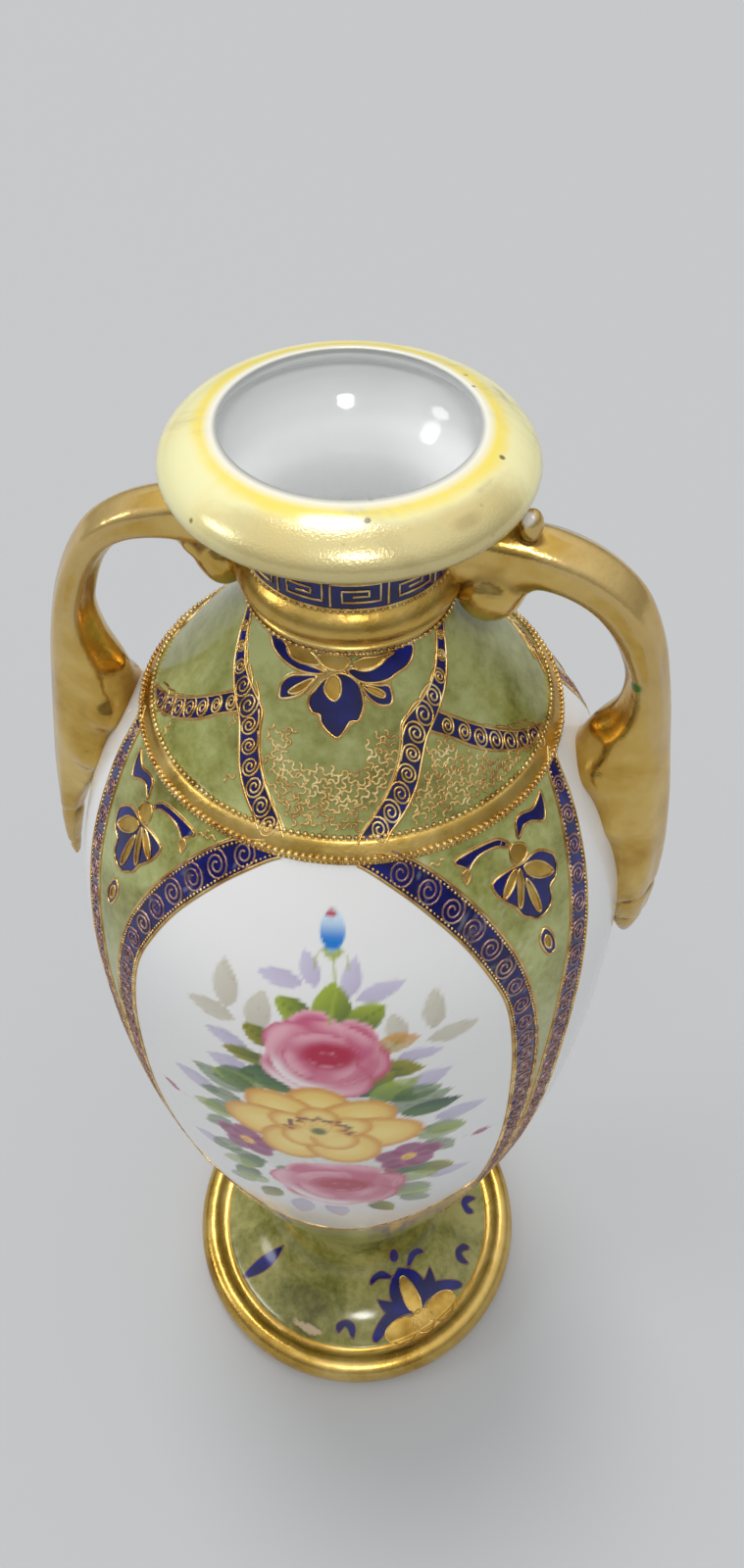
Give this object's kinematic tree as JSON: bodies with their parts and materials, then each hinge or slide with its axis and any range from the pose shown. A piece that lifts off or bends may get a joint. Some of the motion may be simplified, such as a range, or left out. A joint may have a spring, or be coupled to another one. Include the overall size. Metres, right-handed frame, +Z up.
{
  "type": "two-handled vase",
  "caption": "Ovoid porcelain vase on a spreading foot, with a rolled lip, a short neck, two scrolled handles, painted panels and gilding.",
  "frame": {"origin": "centre of the underside of the foot, on the turning axis", "axes": "+Z up along the turning axis through the mouth, X through the two handles, -Y out of the front with the painted bouquet"},
  "size_m": [0.0946, 0.0838, 0.2399],
  "materials": {
    "porcelain": "glossy glazed white porcelain, painted in green, cobalt blue, cream and flower colours, with satin gilding on the handles, the foot rim, the bands and the raised dots"
  },
  "bodies": {
    "root": {"vase": "porcelain"}
  },
  "joints": []
}
